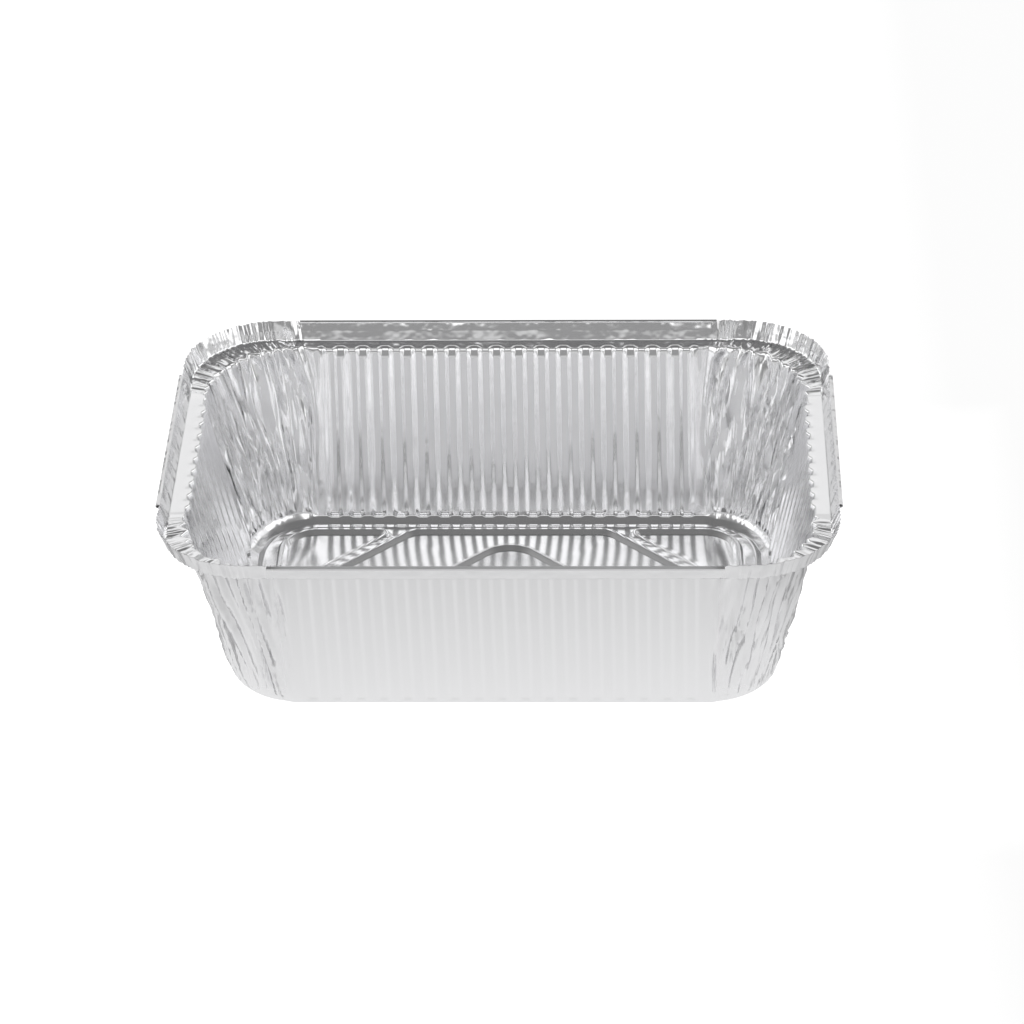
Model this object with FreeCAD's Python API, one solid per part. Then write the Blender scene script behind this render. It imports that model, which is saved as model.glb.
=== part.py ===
import FreeCAD, Part
import math
import os

# Pressed foil food container: one sheet of aluminium drawn into a tray with fluted walls,
# pleated corners, a flat ledge, a flared flange and a hem rolled along each straight side.
# The origin is at the middle of the underside, +X along the long side, +Z up.

doc = FreeCAD.newDocument("foil_container")
sheet = doc.addObject("Spreadsheet::Sheet", "Sizes")
SIZES = [
    ("length", 220, "outer length over the hems"),
    ("width", 161, "outer width over the hems"),
    ("height", 67.5, "height from the underside to the top of the hem"),
    ("foil", 0.1, "thickness of the foil"),
    ("corner_reach", 31, "radius of the rounded corner, out to the hem line"),
    ("brim_corner", 31, "radius of the corner at the top of the walls"),
    ("base_corner", 22.5, "radius of the corner at the foot of the walls"),
    ("hem_radius", 0.75, "outside radius of the rolled hem"),
    ("hem_wrap", 315, "degrees that the hem is rolled through"),
    ("bare_run", 7.4, "straight edge left bare between the curve of a corner and a hem"),
    ("rim_rise", 6.4, "height of the hem's top above the ledge"),
    ("flange_flare", 2.2, "how far the flange leans outward"),
    ("knee_rise", 3.4, "height of the bend in the flange above the ledge"),
    ("knee_flare", 1.1, "how far the flange leans outward below its bend"),
    ("ledge_width", 5.1, "width of the flat ledge that carries a lid"),
    ("wall_draft", 13, "degrees that the long walls lean from upright"),
    ("end_draft", 11.6, "degrees that the short walls lean from upright"),
    ("base_radius", 3, "radius between the walls and the floor"),
    ("flute_pitch", 7.65, "distance from one flute to the next"),
    ("flute_depth", 1.1, "depth of a flute"),
    ("flute_flat", 2.4, "width of the flat top of a flute"),
    ("flute_flank", 1.45, "width of the slope on each side of a flute"),
    ("corner_pleats", 16, "pleats round one corner"),
    ("pleat_depth", 0.7, "depth of a pleat in the wall"),
    ("lip_pleat", 0.5, "depth of a pleat at the edge of the flange"),
    ("lip_inset", 1.3, "how far the bare edge of a corner stands in from the hem line"),
    ("lip_rise", 0.75, "height of that edge above the middle of the hem"),
    ("bead_width", 3.6, "width of a bead on the floor"),
    ("bead_crest", 1, "width of the top of a bead"),
    ("bead_height", 1.35, "height of a bead"),
    ("bead_side_gap", 5, "floor left beside the beads along the long walls"),
    ("bead_end_gap", 8, "floor left beside the beads along the short walls"),
    ("loop_tip", 11.5, "distance from the tray's middle line to the tip of a corner loop"),
    ("loop_gap", 0.4, "floor left between a corner loop and the ring"),
    ("diamond_gap", 10.3, "distance between the diamond and the long side of the ring"),
    ("diamond_round", 11.5, "rounding of the diamond"),
    ("ring_round", 8, "rounding of the ring"),
    ("loop_round", 12, "rounding of a corner loop in the corner of the floor"),
    ("tip_round", 2.4, "rounding at the tips of a corner loop"),
]
for row, (alias, value, note) in enumerate(SIZES, 1):
    sheet.set(f"A{row}", note)
    sheet.set(f"B{row}", str(value))
    sheet.setAlias(f"B{row}", alias)
doc.recompute()
size = {alias: float(sheet.get(alias)) for alias, _, _ in SIZES}

foil = size["foil"]
half_length = size["length"] / 2
half_width = size["width"] / 2
draft = math.radians(size["wall_draft"])

# Levels of the tray, each one an inset from the hem line and a height.
lip_inset = 2 * size["hem_radius"]
lip_z = size["height"] - size["hem_radius"]
ledge_z = size["height"] - size["rim_rise"]
foot_inset = lip_inset + size["flange_flare"]
knee_inset = foot_inset - size["knee_flare"]
knee_z = ledge_z + size["knee_rise"]
brim_inset = foot_inset + size["ledge_width"]
turn = math.pi / 2 - draft
wall_z = foil + size["base_radius"] * (1 - math.cos(turn))
wall_inset = brim_inset + (ledge_z - wall_z) * math.tan(draft)
floor_inset = wall_inset + size["base_radius"] * math.sin(turn)
end_spread = (ledge_z - wall_z) * (math.tan(draft) - math.tan(math.radians(size["end_draft"])))
FILLET_STEPS = 3


def corner_columns(quarter):
    """Upright lines of the sheet round one corner, folded in and out in turn, with plain ends."""
    corner = (1 if quarter in (0, 3) else -1, 1 if quarter in (0, 1) else -1)
    count = 2 * round(size["corner_pleats"])
    return [
        {"corner": corner, "quarter": quarter, "along": step / count, "fold": step % 2}
        for step in range(count + 1)
    ]


def flute_columns(quarter):
    """Upright lines along the straight wall that follows a corner, four to each flute."""
    long_wall = quarter in (0, 2)
    run = 2 * ((half_length if long_wall else half_width) - wall_inset - size["base_corner"])
    pitch, flat, rise = size["flute_pitch"], size["flute_flat"], size["flute_flank"]
    count = int(run / pitch)
    angle = math.pi / 2 * (quarter + 1)
    out = (round(math.cos(angle)), round(math.sin(angle)))
    side = half_width if long_wall else half_length
    found = []
    for number in range(count):
        middle = (number - (count - 1) / 2) * pitch
        for place, fold in (
            (middle - flat / 2 - rise, 0),
            (middle - flat / 2, 1),
            (middle + flat / 2, 1),
            (middle + flat / 2 + rise, 0),
        ):
            foot = (out[0] * side - out[1] * place, out[1] * side + out[0] * place)
            found.append({"foot": foot, "out": out, "fold": fold})
    return found


corners = [corner_columns(quarter) for quarter in range(4)]
flutes = [flute_columns(quarter) for quarter in range(4)]


def depth_share(inset):
    """How far down the wall an inset is: 0 at the ledge, 1 at the foot and below."""
    return min(1.0, max(0.0, (inset - brim_inset) / (wall_inset - brim_inset)))


def corner_radius(inset):
    """Radius of the corner at an inset: concentric in the flange, its own in the wall."""
    if inset <= foot_inset:
        return size["corner_reach"] - inset
    share = depth_share(inset)
    radius = size["brim_corner"] + share * (size["base_corner"] - size["brim_corner"])
    return radius - max(0.0, inset - wall_inset)


def corner_run(inset):
    """Straight run on each side of a corner's curve: whole in the flange, gone at the foot."""
    if inset <= foot_inset:
        return size["bare_run"]
    brim_run = wall_inset + size["base_corner"] - brim_inset - size["brim_corner"]
    return brim_run * (1 - depth_share(inset))


def place(col, inset, z, fold_depth=0.0):
    """The point of an upright line at an inset from the hem line."""
    fold, spread = fold_depth * col["fold"], end_spread * depth_share(inset)
    if "foot" in col:
        (x, y), (u, v) = col["foot"], col["out"]
        return FreeCAD.Vector(x - u * (inset + fold - spread), y - v * (inset + fold), z)
    radius, run = corner_radius(inset), corner_run(inset)
    travel = col["along"] * (2 * run + radius * math.pi / 2) - run
    bend = min(max(travel / radius, 0.0), math.pi / 2)
    rest = travel - bend * radius
    angle = math.pi / 2 * col["quarter"] + bend
    u, v = math.cos(angle), math.sin(angle)
    middle = half_length - inset - radius + spread
    x = col["corner"][0] * middle + u * (radius - fold) - v * rest
    y = col["corner"][1] * (half_width - inset - radius) + v * (radius - fold) + u * rest
    return FreeCAD.Vector(x, y, z)


def level(inset, z, pleat=0.0, flute=None):
    """One level right round the tray: four corners, each with the wall that follows it."""
    rows = []
    for quarter in range(4):
        turn_row = [place(col, inset, z, pleat) for col in corners[quarter]]
        wall_row = [] if flute is None else [place(col, inset, z, flute) for col in flutes[quarter]]
        rows.append((turn_row, wall_row))
    return rows


def outline(rows):
    points = [point for turn_row, wall_row in rows for point in turn_row + wall_row]
    return Part.makePolygon(points + points[:1])


def flat_face(outer, holes):
    """A flat face with holes in it."""
    return Part.makeFace([outer] + holes, "Part::FaceMakerBullseye").Faces[0]


def patch(a, b, c, d):
    """One flat face through four points, or two where they don't share a plane."""
    normal = (b - a).cross(c - a)
    if abs((d - a).dot(normal)) < 1e-7 * normal.Length:
        return [Part.Face(Part.makePolygon([a, b, c, d, a]))]
    return [
        Part.Face(Part.makePolygon([a, b, c, a])),
        Part.Face(Part.makePolygon([a, c, d, a])),
    ]


def band(lower, upper):
    """Faces between two levels; a wall row with flutes may meet a plain one."""
    found = []
    for quarter in range(4):
        low_turn, low_wall = lower[quarter]
        high_turn, high_wall = upper[quarter]
        for n in range(len(low_turn) - 1):
            found += patch(low_turn[n], low_turn[n + 1], high_turn[n + 1], high_turn[n])
        low = [low_turn[-1]] + low_wall + [lower[(quarter + 1) % 4][0][0]]
        high = [high_turn[-1]] + high_wall + [upper[(quarter + 1) % 4][0][0]]
        if len(low) == len(high):
            for n in range(len(low) - 1):
                found += patch(low[n], low[n + 1], high[n + 1], high[n])
        else:
            found.append(Part.Face(Part.makePolygon(low + high[::-1] + low[:1])))
    return found


def bead_loop(corner_points, shift, z):
    """A closed loop, moved outward by shift. Each corner is a point and its rounding."""
    points = []
    count = len(corner_points)
    for n in range(count):
        before, here, after = (corner_points[(n + k) % count] for k in (-1, 0, 1))
        first = math.atan2(before[0] - here[0], here[1] - before[1])
        second = math.atan2(here[0] - after[0], after[1] - here[1])
        radius = here[2]
        swing = (second - first) % (2 * math.pi)
        share = radius / math.cos(swing / 2)
        middle = first + swing / 2
        centre = (here[0] - share * math.cos(middle), here[1] - share * math.sin(middle))
        steps = max(3, round(swing / math.radians(15)))
        for step in range(steps + 1):
            angle = first + swing * step / steps
            reach = radius + shift
            points.append(
                FreeCAD.Vector(
                    centre[0] + reach * math.cos(angle), centre[1] + reach * math.sin(angle), z
                )
            )
    return points


def floor_beads():
    """The diamond, the ring round it and the four corner loops, as points with their rounding."""
    far_x = half_length - floor_inset + end_spread - size["bead_end_gap"]
    far_y = half_width - floor_inset - size["bead_side_gap"]
    leg = far_y - size["loop_tip"]
    cut = leg + (size["bead_width"] + size["loop_gap"]) * math.sqrt(2)
    reach = far_y - size["diamond_gap"] + size["diamond_round"] * (math.sqrt(2) - 1)
    diamond = [(reach, 0), (0, reach), (-reach, 0), (0, -reach)]
    side = far_y - cut
    if side > 0:
        end = [(far_x, -side), (far_x, side)]
    else:
        end = [(far_x + side, 0)]
    top = [(far_x - cut, far_y), (cut - far_x, far_y)]
    ring = end + top + [(-x, -y) for x, y in end] + [(-x, -y) for x, y in top]
    tip, bend = size["tip_round"], size["loop_round"]
    legs = [(far_x, far_y, bend), (far_x - leg, far_y, tip), (far_x, far_y - leg, tip)]
    loops = [
        [(x, y, size["diamond_round"]) for x, y in diamond],
        [(x, y, size["ring_round"]) for x, y in ring],
    ]
    for sign_x, sign_y in ((1, 1), (-1, 1), (-1, -1), (1, -1)):
        points = [(sign_x * x, sign_y * y, radius) for x, y, radius in legs]
        loops.append(points if sign_x * sign_y > 0 else points[::-1])
    return loops


def floor_faces(rows, z):
    """The flat floor inside one level, with every bead raised from it."""
    found = []
    inside = []
    holes = []
    for points in floor_beads():
        foot, crest = size["bead_width"] / 2, size["bead_crest"] / 2
        raised = z + size["bead_height"]
        profile = [(foot, z), (crest, raised), (-crest, raised), (-foot, z)]
        loops = [bead_loop(points, shift, height) for shift, height in profile]
        for low, high in zip(loops, loops[1:]):
            for n in range(len(low)):
                m = (n + 1) % len(low)
                found += patch(low[n], low[m], high[m], high[n])
        holes.append(Part.makePolygon(loops[0] + loops[0][:1]))
        inside.append(Part.makePolygon(loops[-1] + loops[-1][:1]))
    diamond, ring, loops = holes[0], holes[1], holes[2:]
    found.append(flat_face(outline(rows), [ring] + loops))
    found.append(flat_face(inside[1], [diamond]))
    found += [Part.Face(wire) for wire in inside[:1] + inside[2:]]
    return found


def skin(side):
    """One side of the sheet: 0 is the food side, 1 the outside, a foil thickness out and down."""
    away, down = side * foil, side * foil
    arc = []
    for step in range(FILLET_STEPS):
        angle = turn * step / FILLET_STEPS
        inset = floor_inset - size["base_radius"] * math.sin(angle) - away
        z = foil + size["base_radius"] * (1 - math.cos(angle)) - down
        arc.append(level(inset, z, flute=0.0 if step == FILLET_STEPS - 1 else None))
    pleat, lip = size["pleat_depth"], size["lip_pleat"]
    wall_low = level(wall_inset - away, wall_z - down, pleat, size["flute_depth"])
    wall_high = level(brim_inset - away, ledge_z - down, pleat, size["flute_depth"])
    foot = level(foot_inset - away, ledge_z - down, lip)
    knee = level(knee_inset - away, knee_z - down, lip)
    top = level(size["lip_inset"] - away, lip_z + size["lip_rise"], lip)
    for (turn_row, _), columns in zip(top, corners):
        for end in (0, -1):
            turn_row[end] = place(columns[end], lip_inset - away, lip_z)
    faces = floor_faces(arc[0], foil - down)
    for lower, upper in zip(arc + [wall_low], arc[1:] + [wall_low, wall_high]):
        faces += band(lower, upper)
    faces.append(flat_face(outline(foot), [outline(wall_high)]))
    faces += band(foot, knee) + band(knee, top)
    return faces, top


def hem_row(col, side):
    """Points of the rolled hem at one end of a straight side, from the flange over and round."""
    radius = size["hem_radius"] - side * foil
    steps = max(4, round(size["hem_wrap"] / 45))
    found = []
    for step in range(steps + 1):
        angle = math.radians(size["hem_wrap"]) * step / steps
        inset = size["hem_radius"] + radius * math.cos(angle)
        found.append(place(col, inset, lip_z + radius * math.sin(angle)))
    return found


def edge_faces(inner_top, outer_top):
    """The hems with their open ends, and the bare edge of the flange round each corner."""
    faces = []
    for quarter in range(4):
        inner, outer = inner_top[quarter][0], outer_top[quarter][0]
        for n in range(len(inner) - 1):
            faces += patch(inner[n], inner[n + 1], outer[n + 1], outer[n])
        ends = (corners[quarter][-1], corners[(quarter + 1) % 4][0])
        (start_in, stop_in), (start_out, stop_out) = (
            [hem_row(col, side) for col in ends] for side in (0, 1)
        )
        last = len(start_in) - 1
        for n in range(last):
            faces += patch(start_in[n], start_in[n + 1], stop_in[n + 1], stop_in[n])
            faces += patch(start_out[n], start_out[n + 1], stop_out[n + 1], stop_out[n])
            faces += patch(start_in[n], start_in[n + 1], start_out[n + 1], start_out[n])
            faces += patch(stop_in[n], stop_in[n + 1], stop_out[n + 1], stop_out[n])
        faces += patch(start_in[last], stop_in[last], stop_out[last], start_out[last])
    return faces


food_side, food_top = skin(0)
outside, outside_top = skin(1)
sewn = Part.makeCompound(food_side + outside + edge_faces(food_top, outside_top))
sewn.sewShape()
solid = Part.Solid(Part.Shell(sewn.Faces))
if solid.Volume < 0:
    solid.reverse()

foil_tray = doc.addObject("Part::Feature", "foil_tray")
foil_tray.Label = "foil_tray"
foil_tray.Shape = solid

doc.recompute()
os.makedirs("parts", exist_ok=True)
for node in (foil_tray,):
    if set(node.State) & {"Invalid", "Error"} or node.Shape.isNull() or not node.Shape.isValid():
        raise RuntimeError(f"{node.Label} did not build")
    if len(node.Shape.Solids) != 1 or not node.Shape.Solids[0].isClosed():
        raise RuntimeError(f"{node.Label} is not one closed solid")
    node.Shape.exportStep(f"parts/{node.Label}.step")
    box = node.Shape.BoundBox
    print(node.Label, "faces", len(node.Shape.Faces), "volume", round(node.Shape.Volume, 1),
          "box", [round(v, 2) for v in (box.XMin, box.YMin, box.ZMin, box.XMax, box.YMax, box.ZMax)])
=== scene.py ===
import math

import bmesh
import bpy
from mathutils import Matrix, Vector, noise


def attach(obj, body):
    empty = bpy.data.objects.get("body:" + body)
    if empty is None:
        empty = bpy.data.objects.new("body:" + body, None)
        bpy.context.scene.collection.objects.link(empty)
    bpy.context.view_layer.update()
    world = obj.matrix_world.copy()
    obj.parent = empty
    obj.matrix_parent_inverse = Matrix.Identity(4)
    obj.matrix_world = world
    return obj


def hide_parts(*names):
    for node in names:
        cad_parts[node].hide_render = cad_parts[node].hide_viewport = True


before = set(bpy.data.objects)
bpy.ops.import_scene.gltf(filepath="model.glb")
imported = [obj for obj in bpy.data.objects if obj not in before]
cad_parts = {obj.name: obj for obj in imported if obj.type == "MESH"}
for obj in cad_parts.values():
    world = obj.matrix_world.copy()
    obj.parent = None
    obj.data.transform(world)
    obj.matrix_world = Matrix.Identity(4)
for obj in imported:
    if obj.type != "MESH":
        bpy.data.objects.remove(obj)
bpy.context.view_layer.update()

# Camera at the photograph's angle: in front, 31 degrees above the table, seen with a long lens
# from about 1.4 metres away.
ELEVATION, HEADING, TILT = (math.radians(angle) for angle in (31.366, -1.935, -1.059))
LENS, DISTANCE, AIM = 151.55, 1.4283, Vector((0.00286, 0.0, 0.03883))

camera_data = bpy.data.cameras.new("camera")
camera_data.sensor_width = 36.0
camera_data.lens = LENS
camera_data.clip_end = 60.0
camera = bpy.data.objects.new("camera", camera_data)
bpy.context.scene.collection.objects.link(camera)
look = Vector((math.sin(HEADING) * math.cos(ELEVATION), math.cos(HEADING) * math.cos(ELEVATION),
               -math.sin(ELEVATION)))
across = Vector((math.cos(HEADING), -math.sin(HEADING), 0.0))
upward = across.cross(look)
across, upward = (math.cos(TILT) * across + math.sin(TILT) * upward,
                  math.cos(TILT) * upward - math.sin(TILT) * across)
eye = AIM - look * DISTANCE
camera.matrix_world = Matrix.Translation(eye) @ Matrix((across, upward, -look)).transposed().to_4x4()
bpy.context.scene.camera = camera
bpy.context.scene.view_settings.view_transform = "Standard"


# The sheet. One blank of aluminium foil, pressed between a punch and a die: flat floor, leaning
# walls with pressed flutes, a level ledge for the lid and a flange that leans outward. At the
# corners there is more foil than the shape needs, so it gathers in folds from floor to rim.
FOIL = 0.1  # lengths are in millimetres here, and the finished sheet is scaled to metres
HALF_LENGTH, HALF_WIDTH, HEIGHT = 110.0, 80.5, 67.5
CORNER_REACH, BRIM_CORNER, BASE_CORNER = 31.0, 31.0, 22.5
HEM_RADIUS, RIM_RISE, FLANGE_FLARE, KNEE_RISE, KNEE_FLARE = 0.75, 6.4, 2.2, 3.4, 1.1
LEDGE_WIDTH, WALL_DRAFT, END_DRAFT = 5.1, math.radians(13), math.radians(11.6)
WALL_Z, FOOT_WIDTH = 2.4, 2.92  # where the wall starts, and the width of the curve below it
FLUTE_PITCH, FLUTE_DEPTH, FLUTE_FLAT, FLUTE_FLANK, FLUTE_BEND = 7.65, 1.1, 2.4, 1.45, 0.32
SKEW = 0.6  # the floor stands a little to the right of the rim
CORNER_STEPS, HEM_LINES = 140, 12  # steps round a corner, and the lines at its ends with a hem
WALL_ARC, RIM_ARC = 60.0, 75.0  # nominal length round a corner, on the wall and on the rim
FOLD_PITCH, FOLD_DEPTH, LEAN = 5.2, 1.6, 9.0  # the folds lean toward the long walls going down
FINE_PITCH, FINE_DEPTH, PLEAT_PITCH = 2.1, 0.14, 2.3

LIP_INSET, LIP_Z = 2 * HEM_RADIUS, HEIGHT - HEM_RADIUS
LEDGE_Z = HEIGHT - RIM_RISE
FOOT_INSET = LIP_INSET + FLANGE_FLARE
BRIM_INSET = FOOT_INSET + LEDGE_WIDTH
WALL_INSET = BRIM_INSET + (LEDGE_Z - WALL_Z) * math.tan(WALL_DRAFT)
FLOOR_INSET = WALL_INSET + FOOT_WIDTH
END_SPREAD = (LEDGE_Z - WALL_Z) * (math.tan(WALL_DRAFT) - math.tan(END_DRAFT))


def smooth_step(value, low, high):
    share = min(1.0, max(0.0, (value - low) / (high - low)))
    return share * share * (3 - 2 * share)


def uneven(x, y, z):
    """Smooth noise, about -1 to 1."""
    return noise.noise(Vector((x, y, z)))


def crease(value):
    """A wave with straight flanks and sharp tops and valleys, between -1 and 1."""
    return 4 * abs(value - math.floor(value + 0.5)) - 1


def upright_lines():
    """The lines of the sheet that run from the floor to the rim, once round the tray."""
    lines = []
    top, foot = FLUTE_FLAT / 2, FLUTE_FLAT / 2 + FLUTE_FLANK
    flank = [(foot + FLUTE_BEND, 0.0), (foot - FLUTE_BEND, 0.1),
             (top + FLUTE_BEND, 0.9), (top - FLUTE_BEND, 1.0)]
    flute = [(-place, fold) for place, fold in flank] + flank[::-1]
    for quarter in range(4):
        corner = (1 if quarter in (0, 3) else -1, 1 if quarter in (0, 1) else -1)
        for step in range(CORNER_STEPS + 1):
            lines.append({"corner": corner, "quarter": quarter, "along": step / CORNER_STEPS,
                          "fold": 0.0, "hem": min(step, CORNER_STEPS - step) <= HEM_LINES})
        long_wall = quarter in (0, 2)
        side, end = (HALF_WIDTH, HALF_LENGTH) if long_wall else (HALF_LENGTH, HALF_WIDTH)
        count = int(2 * (end - WALL_INSET - BASE_CORNER) / FLUTE_PITCH)
        facing = math.pi / 2 * (quarter + 1)
        u, v = round(math.cos(facing)), round(math.sin(facing))
        for number in range(count):
            for place, fold in flute:
                place += (number - (count - 1) / 2) * FLUTE_PITCH
                lines.append({"corner": None, "foot": (u * side - v * place, v * side + u * place),
                              "out": (u, v), "fold": fold, "hem": True})
    return lines


def depth_share(inset):
    """0 at the top of the wall, 1 at its foot."""
    return min(1.0, max(0.0, (inset - BRIM_INSET) / (WALL_INSET - BRIM_INSET)))


def corner_radius(inset):
    if inset <= FOOT_INSET:
        return CORNER_REACH - inset
    if inset <= BRIM_INSET:
        foot = CORNER_REACH - FOOT_INSET
        return foot + (BRIM_CORNER - foot) * (inset - FOOT_INSET) / LEDGE_WIDTH
    radius = BRIM_CORNER + depth_share(inset) * (BASE_CORNER - BRIM_CORNER)
    return radius - max(0.0, inset - WALL_INSET)


def stand(line, inset, z, inward=0.0):
    """The point of a line at an inset from the hem line, pushed inward across the sheet."""
    spread, skew = END_SPREAD * depth_share(inset), SKEW * depth_share(inset)
    if line["corner"] is None:
        (x, y), (u, v) = line["foot"], line["out"]
        return Vector((x - u * (inset + inward - spread) + skew, y - v * (inset + inward), z))
    radius = corner_radius(inset)
    run = max(0.0, WALL_INSET + BASE_CORNER - inset - radius)
    travel = line["along"] * (2 * run + radius * math.pi / 2) - run
    bend = min(max(travel / radius, 0.0), math.pi / 2)
    rest, angle = travel - bend * radius, math.pi / 2 * line["quarter"] + bend
    u, v = math.cos(angle), math.sin(angle)
    x = line["corner"][0] * (HALF_LENGTH - inset - radius + spread) + u * (radius - inward)
    y = line["corner"][1] * (HALF_WIDTH - inset - radius) + v * (radius - inward)
    return Vector((x - v * rest + skew, y + u * rest, z))


def from_end(line):
    """How far a corner's line is from the nearer end of the corner, 0.5 in the middle."""
    return 0.5 - abs(line["along"] - 0.5)


def lean(line):
    return LEAN * (line["quarter"] % 2 * 2 - 1)


def gather(line, share):
    """How far a corner's folds push the sheet inward at a share of the way up the wall."""
    if line["corner"] is None:
        return 0.0
    seed = line["quarter"] * 17.3
    arc = (line["along"] - 0.5) * WALL_ARC + lean(line) * (1 - share)
    drift = 5.0 * uneven(arc / 14.0, share * 1.9, seed)
    drift += 1.6 * uneven(arc / 5.0, share * 4.5, seed + 5)
    main = crease((arc + drift) / FOLD_PITCH)
    fine = crease((arc + 2.0 * drift) / FINE_PITCH + 1.5 * uneven(arc / 6.0, share * 4.0, seed + 9))
    part = max(0.12, 0.5 + 1.1 * uneven(arc / 7.0, share * 3.2, seed + 20))
    edge = smooth_step(from_end(line), 0.0, 0.06)
    rise = 0.5 + 0.5 * smooth_step(share, 0.0, 0.3)
    return edge * rise * (FOLD_DEPTH * part * main + FINE_DEPTH * fine)


# Levels of the sheet from the floor to the lip. Each has a kind, the inset and height along the
# straight sides, the same in a corner, and the share of the way up the wall. At its foot a
# straight wall has one flat slope; a corner is wider there, with two slopes.
FILLET = (((0.15, 0.18), (1.0, 0.18)), ((0.0, 0.2), (0.75, 0.2)), ((-0.25, 0.34), (0.45, 0.32)),
          ((-1.4, 1.08), (-1.45, 1.42)), ((-2.72, 1.92), (-1.75, 1.66)),
          ((-2.82, 2.0), (-2.95, 3.05)), ((-2.84, 2.12), (-3.2, 3.6)))
WALL_ROWS, ROWS_FROM, ROWS_TO = 14, 56.0, 4.0  # evenly spaced rows, measured below the ledge
BRIM = ((0.06, -0.45), (0.22, -0.16), (0.5, -0.02), (0.8, 0.0), (1.9, 0.0), (3.3, 0.0), (4.7, 0.0))
BRIM_BENDS = 4  # rows of the brim that are in its bend; the rest are on the ledge
FLANGE = ((FOOT_INSET + 0.05, LEDGE_Z + 0.15), (FOOT_INSET - 0.2, LEDGE_Z + 0.7),
          (FOOT_INSET - KNEE_FLARE + 0.1, LEDGE_Z + KNEE_RISE - 0.3),
          (FOOT_INSET - KNEE_FLARE - 0.1, LEDGE_Z + KNEE_RISE + 0.2), (LIP_INSET, LIP_Z))

levels = [("fillet", (FLOOR_INSET + plain[0], plain[1]), (FLOOR_INSET + bent[0], bent[1]), 0.0)
          for plain, bent in FILLET]
below_ledge = [LEDGE_Z - z for z in (2.6, 3.1, 3.7, 4.4, 5.2)]
below_ledge += [ROWS_FROM - (ROWS_FROM - ROWS_TO) * row / WALL_ROWS for row in range(1, WALL_ROWS + 1)]
for below in below_ledge + [2.8, 1.8, 1.0]:
    share = 1 - (below - 0.25) / (LEDGE_Z - WALL_Z - 0.25)
    point = (WALL_INSET + share * (BRIM_INSET - WALL_INSET), LEDGE_Z - below)
    levels.append(("wall", point, point, share))
for row, (back, drop) in enumerate(BRIM):
    point = (BRIM_INSET - back, LEDGE_Z + drop)
    levels.append(("brim" if row < BRIM_BENDS else "ledge", point, point, 1.0))
levels += [("flange", point, point, 1.0) for point in FLANGE]


def sheet_point(line, kind, plain, bent, share):
    """Where one line of the sheet passes a level."""
    straight = line["corner"] is None
    turned = 0.0 if straight else smooth_step(from_end(line), 0.0, 0.14)
    inset, z = (a + turned * (b - a) for a, b in zip(plain, bent))
    folds, flute, inward = gather(line, share), line["fold"] * FLUTE_DEPTH, 0.0
    scoop = 1.0 if straight and line["out"][0] == 0 else 0.3
    if kind == "fillet":
        inward = 0.2 * folds * smooth_step(z, 1.2, 3.6)
        if straight and z > 1.5:
            inward, z = 0.45 * flute, z - 0.3 * line["fold"]
    elif kind == "wall":
        lift = turned * 1.2 * (1 - smooth_step(z, 2.4, 5.2))
        z, inset = z + lift, inset - lift * math.tan(WALL_DRAFT)
        inward = folds * (0.2 + 0.8 * smooth_step(z, 3.6, 8.0))
        inward += flute * (0.45 + 0.55 * smooth_step(z, 2.2, 3.6))
        if straight:
            z -= 0.95 * scoop * (1 - line["fold"]) * (1 - smooth_step(LEDGE_Z - z, 0.9, 3.0))
    elif kind == "brim":
        inward = folds + flute
        if straight:
            z -= scoop * (1 - line["fold"]) * max(0.0, 1.1 - 0.95 * (BRIM_INSET - inset))
    elif not straight:
        arc, seed = line["along"] * RIM_ARC, line["quarter"] * 11.1
        wander = uneven(arc / 5.0, 0.3, seed) * 1.1
        pleat = crease(arc / PLEAT_PITCH + wander) + 0.5 * uneven(arc / 0.9, 8.0, seed)
        edge = smooth_step(from_end(line), 0.02, 0.16)
        size = max(0.08, 0.26 + 0.3 * uneven(arc / 4.0, 1.3, seed))
        if kind == "ledge":
            outer = smooth_step(BRIM_INSET - inset, 0.0, LEDGE_WIDTH)
            inward = edge * ((1 - outer) * folds + outer * size * pleat)
            z += edge * (0.2 * pleat + 0.35 * uneven(arc / 2.0, inset / 2.0, seed))
        else:
            rise = (z - LEDGE_Z) / (LIP_Z - LEDGE_Z)
            inward = edge * size * pleat * (1.0 + 0.3 * rise)
            if not line["hem"] and rise > 0.99:
                z += HEM_RADIUS + 0.45 * edge * uneven(arc / 3.5, 4.0, seed)
                inset -= 0.2
    elif kind == "flange" and z < LEDGE_Z + 1:
        wear = 0.3 + max(0.0, 1.2 * uneven(line["foot"][0] / 4.0, line["foot"][1] / 4.0, 2.0))
        z, inset = LEDGE_Z + wear * (z - LEDGE_Z), FOOT_INSET + wear * (inset - FOOT_INSET)
    return stand(line, inset, z, inward)


lines = upright_lines()
foil = bmesh.new()
line_of = foil.verts.layers.int.new("line")
level_of = foil.verts.layers.int.new("storey")
place_of = foil.verts.layers.float_vector.new("sheet")


def lay(vert, row):
    """Puts a point of the sheet on its level and notes where on the sheet it is."""
    line = lines[vert[line_of]]
    vert.co = sheet_point(line, *levels[row])
    vert[level_of] = row
    if line["corner"] is not None:
        slip = lean(line) * (1 - vert.co.z / LEDGE_Z)
        gathered = smooth_step(from_end(line), 0.0, 0.12) * smooth_step(vert.co.z, 2.5, 7.0)
        vert[place_of] = Vector((line["along"] * WALL_ARC + slip + line["quarter"] * 90.0,
                                 vert.co.z, gathered))


def numbered_circle(count):
    """A closed loop whose points are numbered in turn."""
    made = bmesh.ops.create_circle(foil, segments=count, radius=1.0)["verts"]
    for vert in made:
        turn = math.atan2(vert.co.y, vert.co.x) / (2 * math.pi) - 0.25
        vert[line_of] = round(turn * count) % count
    return made


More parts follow.
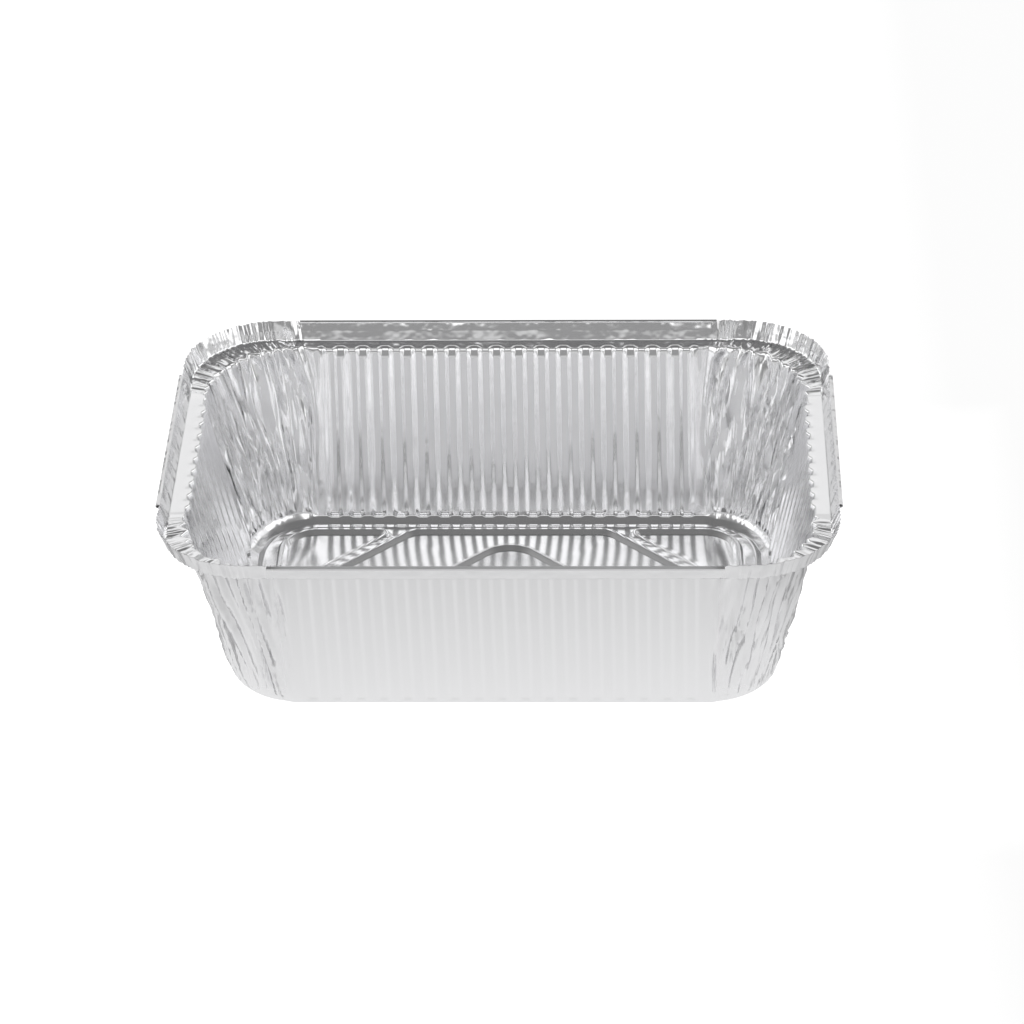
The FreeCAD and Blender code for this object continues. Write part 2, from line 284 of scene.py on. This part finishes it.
def extrude(edges):
    """Extrudes edges in place: the new points, the new edges between them and the new faces."""
    made = bmesh.ops.extrude_edge_only(foil, edges=edges)["geom"]
    points = {item for item in made if isinstance(item, bmesh.types.BMVert)}
    following = [item for item in made if isinstance(item, bmesh.types.BMEdge)
                 and item.verts[0] in points and item.verts[1] in points]
    return points, following, [item for item in made if isinstance(item, bmesh.types.BMFace)]


for vert in numbered_circle(len(lines)):
    lay(vert, 0)
floor_edges = loop_edges = list(foil.edges)
for row in range(1, len(levels)):
    fresh, loop_edges, _ = extrude(loop_edges)
    for vert in fresh:
        lay(vert, row)

# The hems. Along each straight side the edge of the flange is rolled over into a thin tube, which
# stiffens the rim and hides the cut edge. It is open at both ends.
HEM_TURNS = ((10, 14), (26, 30), (34, 62), (90, 70), (146, 160), (154, 168), (200, 205), (210, 215),
             (255, 260), (265, 270), (315, 315))  # degrees round the hem, and the same in front

hem_edges = [edge for edge in loop_edges if all(lines[vert[line_of]]["hem"] for vert in edge.verts)]
hem_faces = []
for turn, front_turn in HEM_TURNS:
    fresh, hem_edges, faces = extrude(hem_edges)
    hem_faces += faces
    for vert in fresh:
        angle = math.radians(front_turn if vert.co.y < 3 - HALF_WIDTH else turn)
        vert.co = stand(lines[vert[line_of]], HEM_RADIUS + HEM_RADIUS * math.cos(angle),
                        LIP_Z + HEM_RADIUS * math.sin(angle))

# The floor's beads. Raised lines pressed into the floor stiffen it: a rounded diamond in the
# middle, a ring with cut corners round it and a three-sided loop in each corner.
BEAD_HALF, BEAD_CREST, BEAD_HEIGHT = 1.8, 0.5, 1.35
END_GAP, SIDE_GAP, LOOP_GAP, DIAMOND_GAP, LOOP_TIP = 8.0, 5.0, 0.4, 10.3, 11.5
DIAMOND_ROUND, RING_ROUND, LOOP_ROUND, TIP_ROUND = 11.5, 8.0, 12.0, 2.4
ARC_STEP, RUN_STEPS = math.radians(8), 7


def bead_loop(corners, shift):
    """A closed loop through corners of x, y and radius, moved outward by shift."""
    arcs = []
    for before, (x, y, radius), after in zip(corners[-1:] + corners[:-1], corners,
                                             corners[1:] + corners[:1]):
        first = math.atan2(before[0] - x, y - before[1])
        swing = (math.atan2(x - after[0], after[1] - y) - first) % (2 * math.pi)
        middle, inner = first + swing / 2, radius / math.cos(swing / 2)
        steps = max(6, round(swing / ARC_STEP))
        angles = [first + swing * step / steps for step in range(steps + 1)]
        arcs.append([(x - inner * math.cos(middle) + (radius + shift) * math.cos(angle),
                      y - inner * math.sin(middle) + (radius + shift) * math.sin(angle))
                     for angle in angles])
    loop = []
    for points, following in zip(arcs, arcs[1:] + arcs[:1]):
        (x, y), (next_x, next_y) = points[-1], following[0]
        loop += points + [(x + (next_x - x) * step / RUN_STEPS, y + (next_y - y) * step / RUN_STEPS)
                          for step in range(1, RUN_STEPS)]
    return loop


far_x = HALF_LENGTH - FLOOR_INSET + END_SPREAD - END_GAP
far_y = HALF_WIDTH - FLOOR_INSET - SIDE_GAP
leg = far_y - LOOP_TIP
cut = leg + (2 * BEAD_HALF + LOOP_GAP) * math.sqrt(2)
tip = far_y - DIAMOND_GAP + DIAMOND_ROUND * (math.sqrt(2) - 1)
half_ring = [(far_x, cut - far_y), (far_x, far_y - cut), (far_x - cut, far_y), (cut - far_x, far_y)]
beads = [[(x, y, DIAMOND_ROUND) for x, y in ((tip, 0), (0, tip), (-tip, 0), (0, -tip))],
         [(x, y, RING_ROUND) for x, y in half_ring + [(-x, -y) for x, y in half_ring]]]
for sign_x, sign_y in ((1, 1), (-1, 1), (-1, -1), (1, -1)):
    loop = [(sign_x * x, sign_y * y, radius) for x, y, radius in
            ((far_x, far_y, LOOP_ROUND), (far_x - leg, far_y, TIP_ROUND),
             (far_x, far_y - leg, TIP_ROUND))]
    beads.append(loop if sign_x * sign_y > 0 else loop[::-1])


def between_beads(x, y):
    """Height kept between a corner loop and the ring, which run together into one wide ridge."""
    side = (abs(x) + abs(y) - far_x - far_y + (leg + cut) / 2) / math.sqrt(2)
    along = (abs(x) - abs(y) - far_x + far_y) / math.sqrt(2)
    if abs(side) > BEAD_HALF + 0.2:
        return 0.0
    return 0.97 * BEAD_HEIGHT * smooth_step(leg / math.sqrt(2) - abs(along), 3.0, 8.0)


# Half of a bead's section, as a distance from its middle line and a height above the floor.
slope = [(BEAD_HALF + 0.04, 0.0), (BEAD_HALF - 0.06, 0.01), (BEAD_HALF - 0.2, 0.06),
         (BEAD_CREST + 0.25, BEAD_HEIGHT - 0.08), (BEAD_CREST - 0.05, BEAD_HEIGHT)]
section = slope + [(-shift, rise) for shift, rise in slope[::-1]]
outer_rims, inner_rims = [], []
for corners in beads:
    fresh = numbered_circle(len(bead_loop(corners, 0.0)))
    edges = list(dict.fromkeys(edge for vert in fresh for edge in vert.link_edges))
    outer_rims.append(edges)
    for row, (shift, rise) in enumerate(section):
        if row:
            fresh, edges, _ = extrude(edges)
        points = bead_loop(corners, shift)
        for vert in fresh:
            x, y = points[vert[line_of]]
            vert.co = Vector((x + SKEW, y, FOIL + rise))
    inner_rims.append(edges)

# The flat floor between the beads and out to the walls.
FLOOR_ROWS = ((1.3, 0.18), (2.2, 0.18), (2.45, FOIL))  # distance in from the foot, and height

floor_rim = floor_edges
for inside, z in FLOOR_ROWS:
    fresh, floor_rim, _ = extrude(floor_rim)
    for vert in fresh:
        vert.co = stand(lines[vert[line_of]], FLOOR_INSET + inside, z)
for rims in (floor_rim + [edge for rim in outer_rims[1:] for edge in rim],
             inner_rims[1] + outer_rims[0]):
    bmesh.ops.triangle_fill(foil, use_beauty=True, use_dissolve=False, edges=rims, normal=(0, 0, 1))
for rim in inner_rims[:1] + inner_rims[2:]:
    bmesh.ops.edgeloop_fill(foil, edges=rim)
for vert in foil.verts:
    x, y, z = vert.co
    if z < FOIL + BEAD_HEIGHT and abs(x - SKEW) < far_x and abs(y) < far_y:
        vert.co.z = max(z, FOIL + between_beads(x - SKEW, y))

# The straight walls are even from top to bottom, so they need no rows half-way up.
EVEN_FROM, EVEN_TO = 5, 56

walls = [(row, point[1]) for row, (kind, point, _, _) in enumerate(levels) if kind == "wall"]
first, last = (next(row for row, z in walls if z > bound) for bound in (EVEN_FROM, EVEN_TO))
spare = [edge for edge in foil.edges
         if edge.verts[0][level_of] == edge.verts[1][level_of]
         and all(first < vert[level_of] < last and lines[vert[line_of]]["corner"] is None
                 for vert in edge.verts)]
bmesh.ops.dissolve_edges(foil, edges=spare, use_verts=True, use_face_split=False)
bmesh.ops.remove_doubles(foil, verts=foil.verts, dist=0.01)
bmesh.ops.scale(foil, verts=foil.verts, vec=(0.001, 0.001, 0.001))
bmesh.ops.recalc_face_normals(foil, faces=foil.faces)
floor_face = max(foil.faces, key=lambda face: face.calc_area())
if floor_face.normal.z < 0:
    bmesh.ops.reverse_faces(foil, faces=foil.faces)
for face in foil.faces:
    face.smooth = True
for face in hem_faces:
    face.smooth = False
for edge in foil.edges:
    edge.smooth = not edge.is_boundary
mesh = bpy.data.meshes.new("foil_tray_sheet")
foil.to_mesh(mesh)
foil.free()
tray = bpy.data.objects.new("foil_tray_sheet", mesh)
bpy.context.scene.collection.objects.link(tray)
gauge = tray.modifiers.new("gauge", "SOLIDIFY")
gauge.thickness = FOIL * 0.001
gauge.offset = -1.0
gauge.material_offset = 1
gauge.material_offset_rim = 0
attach(tray, "root")
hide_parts("foil_tray")


def linear(code):
    """A colour written as six hex digits, in linear light."""
    values = [int(code[n:n + 2], 16) / 255 for n in (0, 2, 4)]
    return tuple(v / 12.92 if v <= 0.04045 else ((v + 0.055) / 1.055) ** 2.4 for v in values) + (1.0,)


def node(tree, kind, settings=None, inputs=None):
    """Adds a node, sets its properties, and sets or links its inputs."""
    added = tree.nodes.new(kind)
    for name, value in (settings or {}).items():
        setattr(added, name, value)
    for name, value in (inputs or {}).items():
        if isinstance(value, bpy.types.NodeSocket):
            tree.links.new(value, added.inputs[name])
        else:
            added.inputs[name].default_value = value
    return added


def math_node(tree, operation, *values, clamp=False):
    return node(tree, "ShaderNodeMath", {"operation": operation, "use_clamp": clamp},
                dict(enumerate(values))).outputs[0]


def map_range(tree, value, low, high, to_low=0.0, to_high=1.0, interpolation="LINEAR"):
    return node(tree, "ShaderNodeMapRange", {"interpolation_type": interpolation},
                {"Value": value, "From Min": low, "From Max": high,
                 "To Min": to_low, "To Max": to_high}).outputs["Result"]


def axes(tree, vector):
    return node(tree, "ShaderNodeSeparateXYZ", inputs={"Vector": vector}).outputs


# Bright rolled aluminium: pure, soft aluminium rolled thin. The bright side is almost a mirror,
# with fine rolling lines; the pressing leaves the flats slightly uneven.
def rolled_foil(name, colour, roughness, front_roughness, unevenness):
    material = bpy.data.materials.new(name)
    material.use_nodes = True
    tree = material.node_tree
    tree.nodes.clear()
    place = node(tree, "ShaderNodeTexCoord").outputs["Object"]
    sheet = node(tree, "ShaderNodeAttribute", {"attribute_name": "sheet"}).outputs["Vector"]
    height, gathered = axes(tree, place)["Z"], axes(tree, sheet)["Z"]
    # Creases that run up the gathered corners.
    pulled = node(tree, "ShaderNodeMapping", inputs={"Vector": sheet, "Scale": (0.13, 0.022, 0.0)})
    pleats = node(tree, "ShaderNodeTexNoise", inputs={"Vector": pulled.outputs["Vector"], "Scale": 1.0,
                                                      "Detail": 0.6, "Distortion": 0.4})
    pleats = math_node(tree, "SUBTRACT", pleats.outputs["Fac"], 0.5)
    pleats = math_node(tree, "MULTIPLY", math_node(tree, "ABSOLUTE", pleats), gathered)
    sharp = node(tree, "ShaderNodeBump", inputs={"Height": pleats, "Strength": 0.9, "Distance": 0.005})
    # A soft swell, calm on the floor and stronger on the ledge and the flange.
    swell = node(tree, "ShaderNodeTexNoise", inputs={"Vector": place, "Scale": 130.0, "Detail": 2.0})
    calm = map_range(tree, height, 0.002, 0.006, 0.3 * unevenness, unevenness)
    worn = map_range(tree, height, 0.0613, 0.0618, 0.0, 0.8)
    soft = node(tree, "ShaderNodeBump", inputs={"Height": swell.outputs["Fac"], "Distance": 0.0007,
                                                "Strength": math_node(tree, "ADD", calm, worn),
                                                "Normal": sharp.outputs["Normal"]})
    # Rolling lines.
    drawn = node(tree, "ShaderNodeMapping", inputs={"Vector": place, "Scale": (40.0, 2600.0, 400.0)})
    grain = node(tree, "ShaderNodeTexNoise", inputs={"Vector": drawn.outputs["Vector"], "Scale": 1.0,
                                                     "Detail": 3.0})
    fine = node(tree, "ShaderNodeBump", inputs={"Height": grain.outputs["Fac"], "Strength": 0.05,
                                                "Distance": 0.00003, "Normal": soft.outputs["Normal"]})
    # The front wall has a roughness of its own, apart from the folds beside it. It is set this way
    # because the camera sees the wall's inner face only as a reflection in the back wall, and a duller
    # one keeps that reflection even. For one roughness all over, give both the same value.
    front = map_range(tree, axes(tree, place)["Y"], -0.05, -0.056)
    front = math_node(tree, "SUBTRACT", front, gathered, clamp=True)
    dull = math_node(tree, "MULTIPLY_ADD", front, front_roughness - roughness, roughness)
    shader = node(tree, "ShaderNodeBsdfPrincipled",
                  inputs={"Base Color": linear(colour), "Metallic": 1.0, "Roughness": dull,
                          "Normal": fine.outputs["Normal"]})
    node(tree, "ShaderNodeOutputMaterial", inputs={"Surface": shader.outputs["BSDF"]})
    return material


mesh.materials.append(rolled_foil("bright_rolled_aluminium", "F5F5F6", 0.13, 0.46, 0.15))
mesh.materials.append(rolled_foil("matt_rolled_aluminium", "F2F2F3", 0.28, 0.24, 0.15))

# The table. Where it is seen directly or in a reflection it also glows, as the white sweep of a lit
# studio does, and the glow carries painted light and shade: a painted pool of light round the foot of
# the object, painted shade to its right.
GLOW_SHARE, CAMERA_EXTRA = 0.8, 0.6

white = bpy.data.materials.new("white_table")
white.use_nodes = True
tree = white.node_tree
tree.nodes.clear()
path = node(tree, "ShaderNodeLightPath").outputs
seen = math_node(tree, "MAXIMUM", path["Is Camera Ray"], path["Is Glossy Ray"])
seen = math_node(tree, "MAXIMUM", seen, path["Is Transmission Ray"])
matt = node(tree, "ShaderNodeBsdfDiffuse", inputs={"Color": linear("F2F2F2")})
place = axes(tree, node(tree, "ShaderNodeNewGeometry").outputs["Position"])
out_x = math_node(tree, "SUBTRACT", math_node(tree, "ABSOLUTE", place["X"]), 0.04)
out = math_node(tree, "MAXIMUM", out_x, math_node(tree, "ABSOLUTE", place["Y"]))
# Painted light and shade in the glow: brighter round the foot of the object, fading outward, and
# darker to its right.
painted_light_and_shade = map_range(tree, out, 0.055, 0.14, 1.0, 0.68)
painted_light_and_shade = math_node(tree, "SUBTRACT", painted_light_and_shade, map_range(tree, place["X"], 0.09, 0.16, 0.0, 0.2))
strength = math_node(tree, "MULTIPLY_ADD", path["Is Camera Ray"], CAMERA_EXTRA, painted_light_and_shade)
glow = node(tree, "ShaderNodeEmission", inputs={"Color": (1, 1, 1, 1), "Strength": strength})
both = node(tree, "ShaderNodeMixShader", inputs={0: math_node(tree, "MULTIPLY", seen, GLOW_SHARE),
                                                 1: matt.outputs[0], 2: glow.outputs[0]})
node(tree, "ShaderNodeOutputMaterial", inputs={"Surface": both.outputs[0]})
table = bmesh.new()
bmesh.ops.create_grid(table, x_segments=1, y_segments=1, size=12.0)
table_mesh = bpy.data.meshes.new("table")
table.to_mesh(table_mesh)
table.free()
table_mesh.materials.append(white)
table_object = bpy.data.objects.new("table", table_mesh)
bpy.context.scene.collection.objects.link(table_object)

# The studio: bright behind the object and low down; in front, a large lamp panel above the camera
# with grey under it; a panel at each side with a dark gap beside it; dark grey overhead.
PEAK = 1.3  # the strength of the world, above every brightness below
AHEAD = ((0, 0.7), (8, 0.66), (14, 0.31), (25, 0.31), (30, 1.25), (62, 1.25), (67, 0.19))
BEHIND = ((0, 0.8), (13, 0.74), (22, 0.72), (28, 0.88), (47, 0.94), (58, 0.4), (67, 0.18))
BESIDE = ((0, 0.52), (5, 0.56), (12, 1.28), (37, 1.28), (43, 0.34), (67, 0.18))
GAP_COLOUR, GAP_SHARE = (0.14, 0.14, 0.14, 1.0), 0.85

world = bpy.data.worlds.new("studio")
bpy.context.scene.world = world
world.use_nodes = True
tree = world.node_tree
tree.nodes.clear()
way = axes(tree, node(tree, "ShaderNodeTexCoord").outputs["Generated"])


def sky_side(stops):
    """Brightness by height: pairs of an elevation in degrees and a brightness."""
    ramp = node(tree, "ShaderNodeValToRGB", inputs={"Fac": way["Z"]})
    while len(ramp.color_ramp.elements) < len(stops):
        ramp.color_ramp.elements.new(0.5)
    for element, (elevation, light) in zip(ramp.color_ramp.elements, stops):
        element.position = math.sin(math.radians(elevation))
        element.color = (light / PEAK,) * 3 + (1.0,)
    return ramp.outputs["Color"]


def blend(low, high, share):
    return node(tree, "ShaderNodeMix", {"data_type": "RGBA"}, {0: share, 6: low, 7: high}).outputs[2]


def ease(value, low, high):
    return map_range(tree, value, low, high, interpolation="SMOOTHSTEP")


flat = math_node(tree, "SQRT", math_node(tree, "SUBTRACT", 1.0,
                                         math_node(tree, "MULTIPLY", way["Z"], way["Z"])))
slant = math_node(tree, "DIVIDE", math_node(tree, "ABSOLUTE", way["X"]), flat)
sky = blend(sky_side(AHEAD), sky_side(BEHIND), ease(way["Y"], -0.2, 0.2))
sky = blend(sky, sky_side(BESIDE), ease(slant, 0.45, 0.75))
gap = math_node(tree, "MULTIPLY", ease(slant, 0.46, 0.54),
                math_node(tree, "SUBTRACT", 1.0, ease(slant, 0.62, 0.74)))
sky = blend(sky, GAP_COLOUR, math_node(tree, "MULTIPLY", gap, GAP_SHARE))
shell = blend(sky, (1, 1, 1, 1), node(tree, "ShaderNodeLightPath").outputs["Is Camera Ray"])
back = node(tree, "ShaderNodeBackground", inputs={"Color": shell, "Strength": PEAK})
node(tree, "ShaderNodeOutputWorld", inputs={"Surface": back.outputs[0]})
